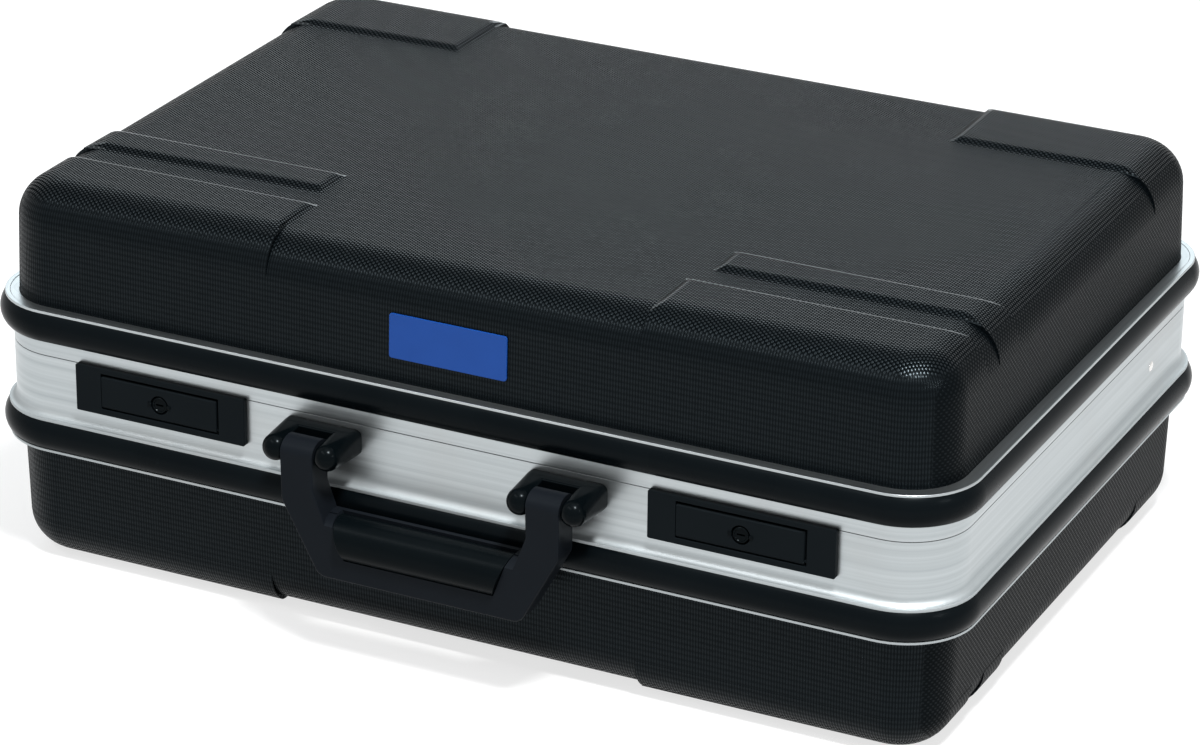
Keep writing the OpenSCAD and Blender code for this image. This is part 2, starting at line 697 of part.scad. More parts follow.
// angle in the lid frame's channel that the hook reaches
module latch_keeper(side) {
    color([0.7, 0.7, 0.72]) at_front(0, 0) for (x = [side * (latch_x + hook_x)]) translate([x, 0, 0]) {
        block(-hook_w / 2 - 2, hook_w / 2 + 2, wall_in, wall_in + keeper_t, lid_bottom_z + 0.3, lid_edging_z - frame_t);
        block(-hook_w / 2 - 2, hook_w / 2 + 2, wall_in, keeper_reach, keeper_z, keeper_z + keeper_t);
    }
}

// ---------- handle ----------

// mount: two round ears with ball ends on a bridge, and a slot between them for the arm
module handle_mount(side) {
    color([0.07, 0.08, 0.09]) at_mount(side) difference() {
        union() {
            for (x = [-1, 1] * ear_x) translate([x, 0, 0]) {
                rod_y(ear_r, -ball_out, band_in);
                translate([0, -ball_out, 0]) sphere(ear_r);
            }
            block(-ear_x, ear_x, -ball_out, band_in, -ear_r, ear_r);
        }
        block(-mount_slot, mount_slot, -ball_out - 2 * ear_r, -bridge_out, -2 * ear_r, 2 * ear_r);
        translate([0, -pivot_out, 0]) rod_x(handle_pin_r, -handle_pin_end, handle_pin_end);
        for (x = [-1, 1] * screw_x) translate([x, 0, 0]) rod_y(screw_r, band_in - screw_depth, band_in + eps);
    }
}

module handle_screws() {
    color([0.8, 0.8, 0.82]) for (side = [-1, 1], x = [-1, 1] * screw_x)
        at_mount(side) translate([x, 0, 0]) {
            rod_y(screw_r, band_in - screw_depth, wall_in);
            rod_y(screw_r * 1.7, wall_in, wall_in + 2);
        }
}

module handle_pin(side) {
    color([0.8, 0.8, 0.82]) at_mount(side) translate([0, -pivot_out, 0])
        rod_x(handle_pin_r, -handle_pin_end, handle_pin_end);
}

// one corner of an outline rounded by an arc
arc_steps = 8;
function round_corner(before, at, after, r) =
    let (a = (before - at) / norm(before - at), b = (after - at) / norm(after - at),
        half = acos(a * b) / 2, mid = (a + b) / norm(a + b), c = at + mid * r / sin(half),
        start = atan2((at + a * r / tan(half) - c)[1], (at + a * r / tan(half) - c)[0]),
        end = atan2((at + b * r / tan(half) - c)[1], (at + b * r / tan(half) - c)[0]),
        turn = end - start > 180 ? end - start - 360 : end - start < -180 ? end - start + 360 : end - start)
    [for (i = [0:arc_steps]) let (a = start + turn * i / arc_steps) c + r * [cos(a), sin(a)]];

function rounded(points, radii) = let (n = len(points)) [for (i = [0:n - 1])
    each round_corner(points[(i + n - 1) % n], points[i], points[(i + 1) % n], radii[i])];

// front view of the handle's outer edge, seen from the pivot line
module handle_outline() {
    polygon(rounded([[-arm_outer, 0], [-arm_outer, -bend_drop], [-foot_x, -handle_drop],
        [foot_x, -handle_drop], [arm_outer, -bend_drop], [arm_outer, 0]], [0.5, 8, 6, 6, 8, 0.5]));
}

// distance of an arm's inner side from the middle of the handle, at a drop below the pivot
function arm_side(drop) = arm_inner - arm_lean * max(drop - arm_straight, 0);

// front view of the finger opening, down to the middle of the grip
module opening_outline() {
    polygon([[-arm_inner, -arm_straight], [-arm_inner, 12], [arm_inner, 12], [arm_inner, -arm_straight],
        [arm_side(grip_drop), -grip_drop], [-arm_side(grip_drop), -grip_drop]]);
}

// the bar's top, which fills the bottom of the opening: round in front and flat behind
module bar_top() {
    translate([0, -grip_out, -grip_drop]) rod_x(grip_r, -arm_gap, arm_gap);
    block(-arm_gap, arm_gap, -grip_out, -arm_back + 2, -grip_drop - 1, -opening_drop);
}

// front view of the grip: its ends slope as the arms do
module grip_outline(gap) {
    low = grip_drop + grip_r + 20;
    top = arm_side(opening_drop) - grip_shoulder + gap;
    bottom = arm_side(low) - grip_shoulder + gap;
    polygon([[-top, 20 - opening_drop], [-top, -opening_drop], [-bottom, -low],
        [bottom, -low], [top, -opening_drop], [top, 20 - opening_drop]]);
}

module grip_solid(gap) {
    intersection() {
        translate([0, -grip_out, -grip_drop]) rod_x(grip_r + gap, -arm_gap, arm_gap);
        translate([0, -grip_back + min(gap, seat_gap), 0]) rotate([90, 0, 0])
            linear_extrude(4 * grip_r) grip_outline(gap);
    }
}

module handle_frame() {
    color([0.11, 0.12, 0.13]) at_front(0, mount_z) difference() {
        union() {
            difference() {
                translate([0, -arm_back, 0]) rotate([90, 0, 0]) linear_extrude(handle_t) handle_outline();
                difference() {
                    translate([0, -arm_back + 1, 0]) rotate([90, 0, 0]) linear_extrude(handle_t + 2)
                        opening_outline();
                    bar_top();
                }
            }
            for (x = [-1, 1] * mount_x) translate([x, -pivot_out, 0]) rod_x(barrel_r, -arm_w / 2, arm_w / 2);
        }
        for (x = [-1, 1] * mount_x)
            translate([x, -pivot_out, 0]) rod_x(handle_pin_r + run_fit, -arm_w, arm_w);
        grip_solid(seam);
        // the front of the bar above the grip's middle is open, so the grip forms its round top
        translate([0, -grip_back + seat_gap, 0]) rotate([90, 0, 0]) linear_extrude(4 * grip_r) intersection() {
            grip_outline(seam);
            translate([-arm_gap, -grip_drop]) square([2 * arm_gap, 2 * grip_r]);
        }
    }
}

module handle_grip() { color([0.09, 0.10, 0.11]) at_front(0, mount_z) grip_solid(0); }

// ---------- lid stays ----------

module stay_arm(side) {
    color([0.72, 0.72, 0.74]) at_side(side, stay_y, stay_z) translate([stay_in, 0, 0]) rotate([-stay_angle, 0, 0])
        difference() {
            union() {
                block(0, stay_t, -stay_l, 0, -stay_w / 2, stay_w / 2);
                rod_x(stay_w / 2, 0, stay_t);
                translate([0, -stay_l, 0]) rod_x(stay_w / 2, 0, stay_t);
            }
            rod_x(stay_rivet_r + run_fit, -eps, stay_t + eps);
            block(-eps, stay_t + eps, -stay_reach, -stay_near, -slot_r, slot_r);
            for (y = [-stay_reach, -stay_near]) translate([0, y, 0]) rod_x(slot_r, -eps, stay_t + eps);
        }
}

// the bright rivet seen on the band: it carries the arm on its inner end
module stay_rivet(side) {
    shoulder = 3;
    color([0.85, 0.85, 0.87]) at_side(side, stay_y, stay_z) {
        rod_x(stay_rivet_r, band_in - 0.4, stay_in + stay_t + 0.2);
        rod_x(stay_rivet_r + 0.2, band_in - 0.6, band_in);
        rod_x(shoulder, leg_end, stay_in - 0.2);
        rod_x(shoulder, stay_in + stay_t + 0.2, stay_in + stay_t + 1);
    }
}

module stay_stud(side) {
    color([0.8, 0.8, 0.82]) at_side(side, stud_y, stud_z) {
        rod_x(stay_rivet_r, lid_leg_in, lid_leg_end + 0.3);
        rod_x(stay_rivet_r * 1.4, lid_leg_in - 0.5, lid_leg_in);
    }
}

base_shell();
base_frame();
base_edging();
base_shell_rivets();
base_joiner();
base_joiner_rivets();
lid_shell();
lid_frame();
lid_edging();
lid_shell_rivets();
lid_joiner();
badge_plate();
hinge_base_leaf(-1);  // hinge_base_leaf_left
hinge_base_leaf(1);  // hinge_base_leaf_right
hinge_lid_leaf(-1);  // hinge_lid_leaf_left
hinge_lid_leaf(1);  // hinge_lid_leaf_right
hinge_pin(-1);  // hinge_pin_left
hinge_pin(1);  // hinge_pin_right
hinge_base_rivets();
hinge_lid_rivets();
latch_plate(-1);  // latch_plate_left
latch_plate(1);  // latch_plate_right
latch_rivets();
latch_lever(-1);  // latch_lever_left
latch_lever(1);  // latch_lever_right
lever_pin(-1);  // lever_pin_left
lever_pin(1);  // lever_pin_right
lock_cylinder(-1);  // lock_cylinder_left
lock_cylinder(1);  // lock_cylinder_right
latch_hook(-1);  // latch_hook_left
latch_hook(1);  // latch_hook_right
hook_pin(-1);  // hook_pin_left
hook_pin(1);  // hook_pin_right
latch_spring(-1);  // latch_spring_left
latch_spring(1);  // latch_spring_right
latch_keeper(-1);  // latch_keeper_left
latch_keeper(1);  // latch_keeper_right
handle_mount(-1);  // handle_mount_left
handle_mount(1);  // handle_mount_right
handle_screws();
handle_pin(-1);  // handle_pin_left
handle_pin(1);  // handle_pin_right
handle_frame();
handle_grip();
stay_arm(-1);  // stay_arm_left
stay_arm(1);  // stay_arm_right
stay_rivet(-1);  // stay_rivet_left
stay_rivet(1);  // stay_rivet_right
stay_stud(-1);  // stay_stud_left
stay_stud(1);  // stay_stud_right
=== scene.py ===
# %% [markdown]
# # A hard tool case
#
# The real object is a flat case of two moulded ABS shells. Each shell sits in an aluminium frame, black
# strips run round the frames, and the front carries two latches and a carrying handle. This lesson
# dresses a finished CAD model of the case: the CAD says where everything is and how it moves, and
# Blender adds rounded edges, grain, brushed metal and light.
#
# All lengths are in metres. `mm` turns millimetres into metres, so that sizes can be written the way
# a maker would say them.

# %% Load the CAD model
import bpy
import bmesh
import json
from math import atan2, cos, degrees, hypot, pi, radians, sin
from mathutils import Matrix, Vector


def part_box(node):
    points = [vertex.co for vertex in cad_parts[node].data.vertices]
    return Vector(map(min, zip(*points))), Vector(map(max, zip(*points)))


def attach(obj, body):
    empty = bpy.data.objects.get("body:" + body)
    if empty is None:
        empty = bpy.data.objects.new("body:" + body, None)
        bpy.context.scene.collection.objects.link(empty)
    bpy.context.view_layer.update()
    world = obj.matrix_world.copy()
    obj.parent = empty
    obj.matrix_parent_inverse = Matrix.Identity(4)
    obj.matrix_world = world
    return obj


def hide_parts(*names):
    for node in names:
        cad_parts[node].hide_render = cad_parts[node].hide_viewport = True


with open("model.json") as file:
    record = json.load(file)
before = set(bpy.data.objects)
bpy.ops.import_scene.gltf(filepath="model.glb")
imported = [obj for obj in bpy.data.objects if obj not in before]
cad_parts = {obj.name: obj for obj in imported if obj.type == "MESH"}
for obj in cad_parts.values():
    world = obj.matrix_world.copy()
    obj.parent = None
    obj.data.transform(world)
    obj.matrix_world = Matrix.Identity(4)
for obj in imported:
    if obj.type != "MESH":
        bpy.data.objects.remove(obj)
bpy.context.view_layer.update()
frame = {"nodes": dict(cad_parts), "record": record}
mm = 0.001

# %% [markdown]
# ## The camera
#
# A product picture is usually taken from a long way off with a long lens, so that upright edges stay
# nearly parallel. A camera can be placed by hand in the viewport, but an angle round the object, an
# angle above it and a distance are easier to read and to change, so it is built from those. Blender's
# camera looks along its own -Z, which makes its third axis the direction back to the eye.

# %% Place the camera
turn, tilt, roll, distance = radians(25.924), radians(23.976), radians(0.692), 2.12125
slide, sink = 3.344 * mm, 48.432 * mm            # moves of the eye that centre the case in the picture
aim = Vector((0, 11.25 * mm, 130.4 * mm))        # middle of the lid frame's top
back = Vector((sin(turn) * cos(tilt), -cos(turn) * cos(tilt), sin(tilt)))
level = (-back).cross(Vector((0, 0, 1))).normalized()
rise = level.cross(-back)
right = cos(roll) * level + sin(roll) * rise
up = cos(roll) * rise - sin(roll) * level
eye = aim + distance * back - slide * right - sink * up

lens = bpy.data.cameras.new("case_camera")
lens.sensor_fit, lens.sensor_width, lens.lens = "HORIZONTAL", 36, 136.79
camera = bpy.data.objects.new("case_camera", lens)
camera.matrix_world = Matrix.Translation(eye) @ Matrix((right, up, back)).transposed().to_4x4()
bpy.context.scene.collection.objects.link(camera)
bpy.context.scene.camera = camera
print("camera at", [round(v, 3) for v in eye])

# %% [markdown]
# ## Writing materials as sums
#
# A material is a network of nodes. Wiring dozens of Math nodes by hand is slow to read, so a small
# class stands for one output of the network: adding or multiplying two of them puts in the Math node
# and returns its output. One method, `add`, puts in any other node: its settings go first, because
# they decide which sockets exist, and then its values and links.

# %% A material as an expression
class Wire:
    """One output socket. Sums on it add Math nodes to its finish."""

    def __init__(self, finish, socket):
        self.finish, self.socket = finish, socket

    def maths(self, operation, *values):
        return self.finish.add("ShaderNodeMath", {"operation": operation}, dict(enumerate(values)))

    def __add__(self, other): return self.maths("ADD", self, other)
    def __radd__(self, other): return self.maths("ADD", other, self)
    def __sub__(self, other): return self.maths("SUBTRACT", self, other)
    def __rsub__(self, other): return self.maths("SUBTRACT", other, self)
    def __mul__(self, other): return self.maths("MULTIPLY", self, other)
    def __rmul__(self, other): return self.maths("MULTIPLY", other, self)
    def sine(self): return self.maths("SINE", self)
    def size(self): return self.maths("ABSOLUTE", self)
    def most(self, other): return self.maths("MAXIMUM", self, other)


class Finish:
    """A material, or a background, and the few words needed to write one."""

    def __init__(self, name, kind=bpy.data.materials):
        self.holder = kind.new(name)
        self.holder.use_nodes = True
        self.tree = self.holder.node_tree
        self.tree.nodes.clear()

    def add(self, kind, settings=None, sockets=None, out=0):
        node = self.tree.nodes.new(kind)
        for key, value in (settings or {}).items():
            setattr(node, key, value)
        for key, value in (sockets or {}).items():
            socket = node.inputs[key] if isinstance(key, int) else next(
                s for s in node.inputs if key in (s.identifier, s.name))
            if isinstance(value, Wire):
                self.tree.links.new(value.socket, socket)
            elif isinstance(value, tuple) and len(value) == 3 and socket.type == "RGBA":
                socket.default_value = (*value, 1)
            else:
                socket.default_value = value
        found = node.outputs[out] if isinstance(out, int) else next(
            s for s in node.outputs if out in (s.identifier, s.name))
        return Wire(self, found)

    def place(self): return self.add("ShaderNodeTexCoord", out="Object")
    def facing(self): return self.add("ShaderNodeTexCoord", out="Normal")
    def strip(self): return self.add("ShaderNodeUVMap", {"uv_map": "strip"})

    def parts(self, vector):
        return [self.add("ShaderNodeSeparateXYZ", {}, {0: vector}, out=axis) for axis in "XYZ"]

    def stretch(self, vector, x, y, z):
        return self.add("ShaderNodeVectorMath", {"operation": "MULTIPLY"}, {0: vector, 1: (x, y, z)})

    def noise(self, vector, scale, detail=2.0):
        return self.add("ShaderNodeTexNoise", {}, {"Vector": vector, "Scale": scale, "Detail": detail})

    def ease(self, value, low, high):
        return self.add("ShaderNodeMapRange", {"interpolation_type": "SMOOTHSTEP"},
                        {"Value": value, "From Min": low, "From Max": high})

    def blend(self, share, first, second):
        return self.add("ShaderNodeMix", {"data_type": "RGBA"},
                        {"Factor_Float": share, "A_Color": first, "B_Color": second}, out="Result_Color")

    def bump(self, height, depth, over=None):
        sockets = {"Strength": 1.0, "Distance": depth, "Height": height}
        if over:
            sockets["Normal"] = over
        return self.add("ShaderNodeBump", {}, sockets)

    def shader(self, **sockets):
        named = {key.replace("_", " ").title().replace("Ior", "IOR"): value for key, value in sockets.items()}
        return self.add("ShaderNodeBsdfPrincipled", {}, named)

    def mixed(self, share, first, second):
        return self.add("ShaderNodeMixShader", {}, {0: share, 1: first, 2: second})

    def surface(self, shader, output="ShaderNodeOutputMaterial"):
        end = self.tree.nodes.new(output)
        self.tree.links.new(shader.socket, end.inputs["Surface"])
        return self.holder


print("ready to write materials")

# %% [markdown]
# ## Light, floor and background
#
# Black plastic shows its form through what it reflects, not through its colour. One wide soft lamp
# above and another behind give the lid its even grey. Two small ones to the right put the highlights on
# the rounded corner and on the balls of the handle mounts, and a long narrow one in front lifts the
# latches and the handle. The background is white for the eye and for reflections, and a quieter grey
# for the light it sheds, so that nothing is overlit. The floor does the same, and keeps a soft shadow
# under the case.

# %% Lamps
def softbox(name, round_angle, height_angle, away, width, depth, power, color=(1, 1, 1)):
    """A rectangular lamp that looks at the case from two angles and a distance."""
    lamp = bpy.data.lights.new(name, "AREA")
    lamp.shape, lamp.size, lamp.size_y, lamp.energy = "RECTANGLE", width, depth, power
    lamp.color = color
    side, lift = radians(round_angle), radians(height_angle)
    towards = Vector((sin(side) * cos(lift), -cos(side) * cos(lift), sin(lift)))
    holder = bpy.data.objects.new(name, lamp)
    holder.location = aim + away * towards
    holder.rotation_euler = towards.to_track_quat("Z", "Y").to_euler()
    bpy.context.scene.collection.objects.link(holder)


softbox("lamp_behind", 205, 34, 2.6, 2.6, 1.3, 21, (0.82, 0.94, 1.0))
softbox("lamp_above", 20, 80, 2.2, 1.6, 1.2, 8, (0.85, 0.95, 1.0))
softbox("lamp_corner", 42, 63, 2.2, 0.36, 0.36, 84)
softbox("lamp_front", -34, 48, 2.0, 1.2, 0.26, 6)
softbox("lamp_right", 76, 27, 2.4, 0.18, 0.18, 4)
print("five softboxes")

# %% Background and floor
def seen(finish):
    """1 where the eye, a reflection or glass looks straight at it."""
    path = finish.tree.nodes.new("ShaderNodeLightPath")
    ray = [Wire(finish, path.outputs[name])
           for name in ("Is Camera Ray", "Is Glossy Ray", "Is Transmission Ray")]
    return ray[0].most(ray[1]).most(ray[2])


shed_by_sky, shed_by_floor = (0.40, 0.40, 0.40), (0.7, 0.7, 0.7)     # what lights the case
floor_tone, floor_glow = (0.32, 0.32, 0.32), 0.72                    # what the eye sees of the floor

studio = Finish("studio", bpy.data.worlds)
sky = studio.blend(seen(studio), shed_by_sky, (1, 1, 1))
glow = studio.add("ShaderNodeBackground", {}, {"Color": sky, "Strength": 1.0})
bpy.context.scene.world = studio.surface(glow, "ShaderNodeOutputWorld")

pale = Finish("pale_floor")
view = seen(pale)
matt = pale.add("ShaderNodeBsdfDiffuse", {}, {"Color": pale.blend(view, shed_by_floor, floor_tone)})
light = pale.add("ShaderNodeEmission", {}, {"Color": (1, 1, 1), "Strength": view * floor_glow})
both = pale.add("ShaderNodeAddShader", {}, {0: matt, 1: light})
bm = bmesh.new()
bmesh.ops.create_grid(bm, x_segments=1, y_segments=1, size=6)
ground = bpy.data.meshes.new("floor")
bm.to_mesh(ground)
bm.free()
ground.materials.append(pale.surface(both))
floor = bpy.data.objects.new("floor", ground)
bpy.context.scene.collection.objects.link(floor)
print("white background, pale floor")

# %% [markdown]
# ## Grained ABS
#
# The shells are pressed from a sheet with a fine grain: columns of small pillows 1.34 mm apart. On the
# flat faces the pillows are 1.73 mm long, and every second column is set half a pillow further on, as
# bricks are. Where the sheet bends down into the walls it is drawn out, and the pillows are 2.64 mm long.
# They lie side by side on the long walls and are still staggered on the end walls. An image could carry
# such a grain, but two crossing waves do it at any size and never run out.
#
# On the flat faces the waves run along X and Y. On the walls they follow a UV map called `strip`, whose
# first number is the way round the case and whose second is the way down. The sheet's short way runs
# along X, so it goes along the long walls and down the end walls. Where a wall turns, one set of waves
# fades into the other.
#
# The crests are rubbed glossy and the valleys stay matt, so the finish mixes two shaders by height. An
# attribute marks the edges of the pads and feet that face the back, and more weakly those that face the
# left, towards the lamp behind. There the plastic is made smooth and paler: a painted highlight on the rims.

# %% The grain
run_x, run_y = 206.4 * mm, 131.15 * mm            # half the straight runs of the frames' lips
corner = 33.6 * mm                                # the radius that joins them
mid_y = 11.25 * mm                                # the frames' middle, front to back
column_pitch, flat_pitch, drawn_pitch = 1.34 * mm, 1.73 * mm, 2.64 * mm
stagger, waist = 0.58, 0.22                       # how deep the cuts go across the columns


def grain(finish):
    """The grain's height, about 0 to 1, and how far the face is level or belongs to an end wall."""
    def waves(u, v, pitch):
        return (u * (pi / column_pitch) + pi / 2).sine(), (v * (2 * pi / pitch) + pi / 2).sine()

    def staggered(u, v, pitch):
        column, row = waves(u, v, pitch)
        return column.size() * (1 - stagger) + column * row * stagger

    def side_by_side(u, v, pitch):
        column, row = waves(u, v, pitch)
        return column.size() * (row * waist + (1 - waist))

    x, y, _ = finish.parts(finish.place())
    along, down, _ = finish.parts(finish.strip())
    face_x, _, face_z = finish.parts(finish.facing())
    flat = finish.ease(face_z.size(), 0.50, 0.80)
    end = finish.ease(face_x.size(), 0.65, 0.75)
    end_wall, long_wall = staggered(down, along, drawn_pitch), side_by_side(along, down, drawn_pitch)
    wall = end * end_wall + (1 - end) * long_wall
    return flat * staggered(x, y, flat_pitch) + (1 - flat) * wall, flat, end


def grained_abs():
    """Glossy pillows over matt valleys, and smooth pale plastic, a painted highlight, on the marked rims."""
    abs_ = Finish("grained_abs")
    speck = abs_.noise(abs_.place(), 420, 3)
    height, flat, end = grain(abs_)
    # painted highlight: where the attribute is 1, on rims that face the lamp behind, the plastic is smooth,
    # glossy and pale
    rim_highlight = abs_.add("ShaderNodeAttribute", {"attribute_name": "rim_highlight"}, out="Fac")
    height = height * (1 - rim_highlight)
    cloud = abs_.noise(abs_.place(), 9, 3)
    rubbed_from, rubbed_to = 0.30 - flat * 0.18, 0.80 - flat * 0.26     # level faces are rubbed deeper
    crest = abs_.ease(height + (speck - 0.5) * 0.3, rubbed_from, rubbed_to)
    matt_share = 0.58 + 0.42 * flat                                     # how matt a valley is
    sheen = flat + (1 - flat) * (0.68 - end * 0.22)                     # walls shine less, end walls least
    glossy = ((1 - (1 - crest) * matt_share) * sheen).most(rim_highlight)
    tone = abs_.blend(height, (0.0008, 0.0012, 0.0016), (0.0022, 0.0034, 0.0044))
    # the pale colour on the marked rims is a painted highlight
    pillow = abs_.shader(
        base_color=abs_.blend(rim_highlight, tone, (0.150, 0.164, 0.170)),
        roughness=(0.30 + (cloud - 0.5) * 0.14 - height * 0.08) * (1 - rim_highlight * 0.4),
        specular_ior_level=0.195, specular_tint=(0.74, 0.91, 1.0), normal=abs_.bump(height, 0.10 * mm))
    valley = abs_.shader(base_color=(0.0012, 0.0018, 0.0022), roughness=0.9, specular_ior_level=0.0)
    return abs_.surface(abs_.mixed(glossy, valley, pillow))


shell_black = grained_abs()
print("grain columns", column_pitch / mm, "mm apart")

# %% [markdown]
# ## Brushed aluminium
#
# The frames are drawn profiles: every mark on them runs along their length. That is noise stretched over
# a hundred times further along the strip than across it. It tilts the surface only up and down, so a
# lamp's reflection is pulled into an upright streak, which is what brushed metal does. A few finer
# lines run at fixed levels, where the die left them. They are bumped in, and their darker colour is
# painted shade in the grooves.

# %% The aluminium
# level and half width in mm, and depth as a share, of each line
die_lines = ((91.0, 0.25, 0.30), (94.8, 0.20, 0.14), (99.0, 0.25, 0.26),
             (102.7, 0.20, 0.12), (110.3, 0.20, 0.20), (112.4, 0.22, 0.24))


def brushed_aluminium():
    """Metal with marks along the strip, duller from the band's flare down."""
    metal = Finish("brushed_aluminium")
    strip, here = metal.strip(), metal.place()
    fine = metal.noise(metal.stretch(strip, 9, 2600, 1), 1, 3)
    broad = metal.noise(metal.stretch(strip, 3, 420, 1), 1, 3)
    smear = metal.noise(here, 22, 2)
    level_z = metal.parts(here)[2]
    lines = None
    for at, width, depth in die_lines:
        line = (1 - metal.ease((level_z - at * mm).size(), width * 0.3 * mm, width * mm)) * depth
        lines = line if lines is None else lines.most(line)
    lines = lines * metal.ease(metal.noise(metal.stretch(strip, 14, 60, 1), 1, 2), 0.35, 0.6)
    tone = metal.blend(broad, (0.262, 0.288, 0.298), (0.492, 0.524, 0.535))
    tone = metal.blend(metal.ease(smear, 0.50, 0.72) * 0.35, tone, (0.36, 0.37, 0.37))
    low_down = 1 - metal.ease(level_z, 79 * mm, 84 * mm)
    # the die lines' darker colour is painted shade in their grooves; their bump is real
    return metal.surface(metal.shader(
        base_color=metal.blend(lines * 0.5, tone, (0.20, 0.215, 0.22)), metallic=1.0,
        roughness=0.26 + broad * 0.10 + smear * 0.05 + low_down * 0.22,
        normal=metal.bump(fine * 0.55 + broad * 1.4 - lines, 0.02 * mm)))


frame_metal = brushed_aluminium()
print("aluminium with drawn lines")

# %% [markdown]
# ## Plastics, enamel and steel
#
# The other black parts differ mostly in gloss. The edging is an extruded strip with faint lines along
# it. The latches are finely spark-eroded, the handle is the same but a little rubbed, the grip is
# smoother, and the mounts are nearly polished. One function makes them all from a few numbers.

# %% Black plastics
def black_plastic(name, dark, light, rough, shine, texture, depth, drawn=False):
    """A black plastic with a fine texture, drawn out along the strip if asked, and rubbed specks."""
    plastic = Finish(name)
    here = plastic.stretch(plastic.strip(), 12, 1500, 1) if drawn else plastic.place()
    skin = plastic.noise(here, texture, 3)
    patch = plastic.noise(plastic.place(), 35, 3)
    rub = plastic.ease(plastic.noise(plastic.place(), 260, 5), 0.66, 0.8)
    tone = plastic.blend(patch, dark, light)
    return plastic.surface(plastic.shader(
        base_color=plastic.blend(rub * 0.12, tone, tuple(3 * c for c in light)),
        roughness=rough + (patch - 0.5) * 0.10 + rub * 0.06,
        specular_ior_level=shine, specular_tint=(0.84, 0.95, 1.0),
        normal=plastic.bump(skin, depth)))


edging_black = black_plastic("edging_black", (0.0010, 0.0018, 0.0024), (0.0020, 0.0032, 0.0040),
                             0.28, 0.045, 1, 0.010 * mm, drawn=True)
latch_black = black_plastic("latch_black", (0.0030, 0.0044, 0.0054), (0.0042, 0.0058, 0.0070),
                            0.42, 0.030, 2600, 0.012 * mm)
handle_black = black_plastic("handle_black", (0.0040, 0.0052, 0.0070), (0.0056, 0.0070, 0.0092),
                             0.40, 0.040, 2400, 0.014 * mm)
grip_black = black_plastic("grip_black", (0.0010, 0.0018, 0.0024), (0.0018, 0.0030, 0.0036),
                           0.28, 0.036, 1800, 0.008 * mm)
mount_black = black_plastic("mount_black", (0.0006, 0.0012, 0.0016), (0.0014, 0.0024, 0.0030),
                            0.20, 0.040, 1500, 0.006 * mm)

# %% Enamel and steel
def blue_enamel():
    enamel = Finish("blue_enamel")
    haze = enamel.noise(enamel.place(), 60, 3)
    grit = enamel.noise(enamel.place(), 2200, 2)
    return enamel.surface(enamel.shader(
        base_color=enamel.blend(haze, (0.0034, 0.0360, 0.1800), (0.0060, 0.0450, 0.2150)),
        roughness=0.36 + haze * 0.12, specular_ior_level=0.15, normal=enamel.bump(grit, 0.006 * mm)))


def plated_steel(name, tone, rough):
    steel = Finish(name)
    haze = steel.noise(steel.place(), 180, 4)
    scratch = steel.noise(steel.stretch(steel.place(), 90, 2600, 2600), 1, 3)
    return steel.surface(steel.shader(
        base_color=steel.blend(haze, tuple(0.86 * c for c in tone), tone), metallic=1.0,
        roughness=rough + haze * 0.12, normal=steel.bump(scratch + haze * 0.5, 0.006 * mm)))


badge_blue = blue_enamel()
zinc_steel = plated_steel("zinc_steel", (0.62, 0.63, 0.63), 0.28)
rivet_steel = plated_steel("rivet_steel", (0.74, 0.73, 0.71), 0.20)
print("plastics, enamel and steel")

# %% [markdown]
# ## From a CAD node to a finished piece
#
# The CAD solids have the right shape but mathematically sharp edges and triangles that share no
# corners. `merged` copies a node's triangles, joins their corners and lets flat faces become single
# faces again. `soften` bevels the sharp edges, because no real edge is sharp and the bevel is what
# catches the light. `finish_piece` makes the object. Its Weighted Normal modifier lets the large flat
# faces set the shading, so that a small bevel doesn't bend the light across a whole wall. `shifted` and
# `pushed` make small changes to a shape: one moves corners, and the other draws faces out or sinks them.

# %% Copying and softening
def merged(node, join=0.002 * mm, flat=0.3):
    """A node's mesh with its corners joined and its flat faces whole."""
    bm = bmesh.new()
    bm.from_mesh(frame["nodes"][node].data)
    bmesh.ops.remove_doubles(bm, verts=bm.verts, dist=join)
    bmesh.ops.dissolve_limit(bm, angle_limit=radians(flat), verts=bm.verts, edges=bm.edges)
    return bm


def soften(bm, width, segments=2, over=38, under=180, where=lambda middle: True, hollow=None):
    """Bevel the edges whose angle lies between two limits; returns the new faces."""
    edges = [e for e in bm.edges if len(e.link_faces) == 2 and over < degrees(e.calc_face_angle(0)) < under
             and where((e.verts[0].co + e.verts[1].co) / 2) and hollow in (None, not e.is_convex)]
    return bmesh.ops.bevel(bm, geom=edges, offset=width, offset_type="OFFSET", affect="EDGES",
                           segments=segments, profile=0.5, material=-1, clamp_overlap=False)["faces"]


def finish_piece(bm, name, body, finish, slot, *stands_for):
    """The mesh as an object that rides on a body and takes the given finish. The slot is not used."""
    bm.normal_update()
    for face in bm.faces:
        face.smooth = True
    for edge in bm.edges:
        edge.smooth = len(edge.link_faces) != 2 or edge.calc_face_angle(0) < crease
    mesh = bpy.data.meshes.new(name)
    bm.to_mesh(mesh)
    bm.free()
    mesh.materials.append(finish)
    piece = bpy.data.objects.new(name, mesh)
    bpy.context.scene.collection.objects.link(piece)
    steady = piece.modifiers.new("steady_shading", "WEIGHTED_NORMAL")
    steady.keep_sharp, steady.weight = True, 50
    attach(piece, body)
    if stands_for:
        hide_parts(*stands_for)


def shifted(bm, way, by, where):
    """Move the corners that a condition picks."""
    bmesh.ops.translate(bm, vec=Vector(way) * by, verts=[v for v in bm.verts if where(v.co)])


def pushed(bm, faces, by):
    """Extrude faces and move the new ones along Z."""
    grown = bmesh.ops.extrude_face_region(bm, geom=faces)["geom"]
    bmesh.ops.translate(bm, vec=(0, 0, by), verts=[v for v in grown if isinstance(v, bmesh.types.BMVert)])


crease = radians(32)                              # bends sharper than this stay crisp
near = 0.05 * mm                                  # an edge this close to a face lies on it
sides = (("left", -1), ("right", 1))
body_of = {node: body for body, nodes in frame["record"]["behaviour"]["bodies"].items() for node in nodes}
print("tools ready for", len(body_of), "nodes")

